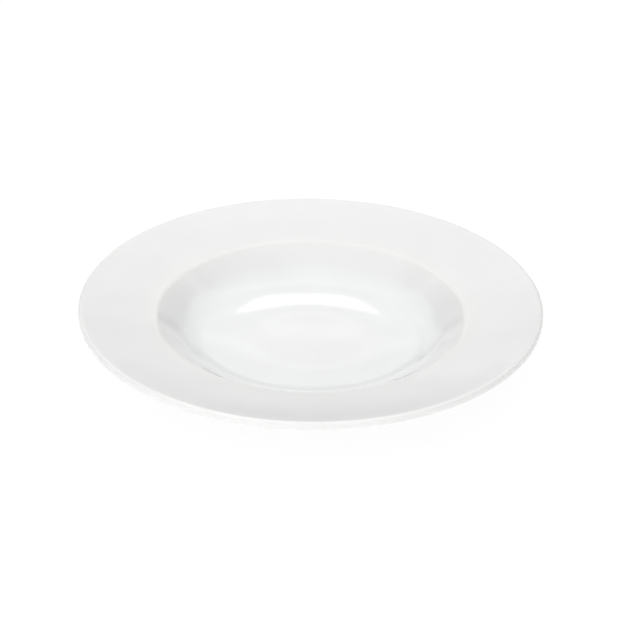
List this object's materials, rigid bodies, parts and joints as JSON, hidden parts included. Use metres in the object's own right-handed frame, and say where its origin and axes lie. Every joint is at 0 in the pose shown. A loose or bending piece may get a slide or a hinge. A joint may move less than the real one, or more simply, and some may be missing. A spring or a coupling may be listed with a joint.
{
  "type": "deep plate",
  "caption": "Round white porcelain deep plate with a wide, gently rising rim, a dished well and a foot ring, for soup, pasta or stew.",
  "frame": {"origin": "on the plate's axis, in the plane of the foot ring's standing face", "axes": "+Z is the plate's axis, pointing up out of the well; +X to the right and -Y towards the viewer in the picture"},
  "size_m": [0.24, 0.24, 0.0319],
  "materials": {
    "porcelain": "bare fired porcelain, matt and slightly gritty",
    "clear_glaze": "glossy transparent glaze over white porcelain"
  },
  "bodies": {
    "root": {"porcelain_body": "porcelain", "glaze_coat": "clear_glaze", "base_glaze": "clear_glaze"}
  },
  "joints": []
}
